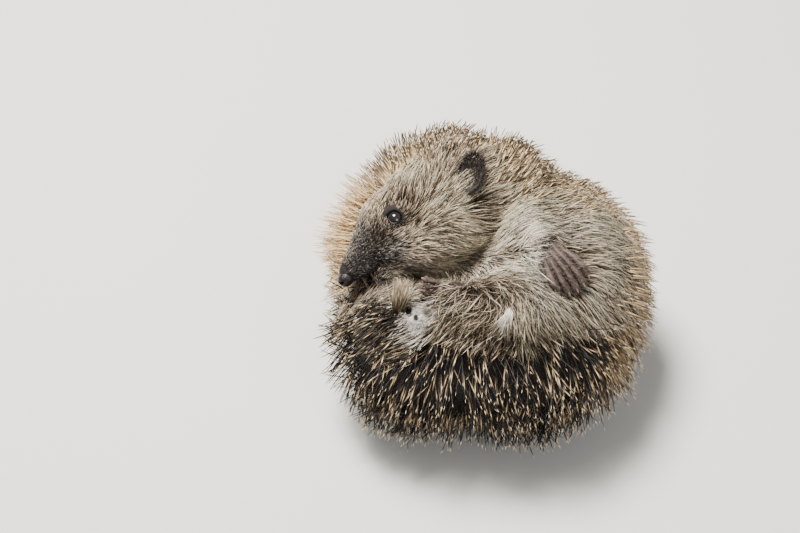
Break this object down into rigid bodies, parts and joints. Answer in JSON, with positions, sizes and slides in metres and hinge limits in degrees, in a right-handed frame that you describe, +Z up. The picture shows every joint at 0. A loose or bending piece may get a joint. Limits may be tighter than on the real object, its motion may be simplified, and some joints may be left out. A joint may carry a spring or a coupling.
{
  "type": "curled hedgehog model",
  "caption": "Life-size still model of a young European hedgehog loosely curled on its right side, face, feet and belly showing inside a ring of spines.",
  "frame": {"origin": "on the floor under the middle of the object's box", "axes": "+Z up from the floor, -Y towards the side where belly and face show, nose towards -X"},
  "size_m": [0.1158, 0.106, 0.0834],
  "materials": {
    "spines": "dense stiff spines, cream with a dark band",
    "fur": "coarse grey-brown fur with pale tips",
    "skin": "grey-brown bare skin",
    "nose": "moist black",
    "eye": "polished black"
  },
  "bodies": {
    "root": {"shoulders": "spines", "back": "spines", "rump": "spines", "neck": "fur", "head": "fur", "lower_jaw": "fur", "nose": "nose", "eye_left": "eye", "eye_right": "eye", "ear_left": "skin", "ear_right": "skin", "foreleg_left": "fur", "forefoot_left": "skin", "foreleg_right": "fur", "forefoot_right": "skin", "hindleg_left": "fur", "hindfoot_left": "skin", "hindfoot_right": "skin", "tail": "skin"}
  },
  "joints": []
}
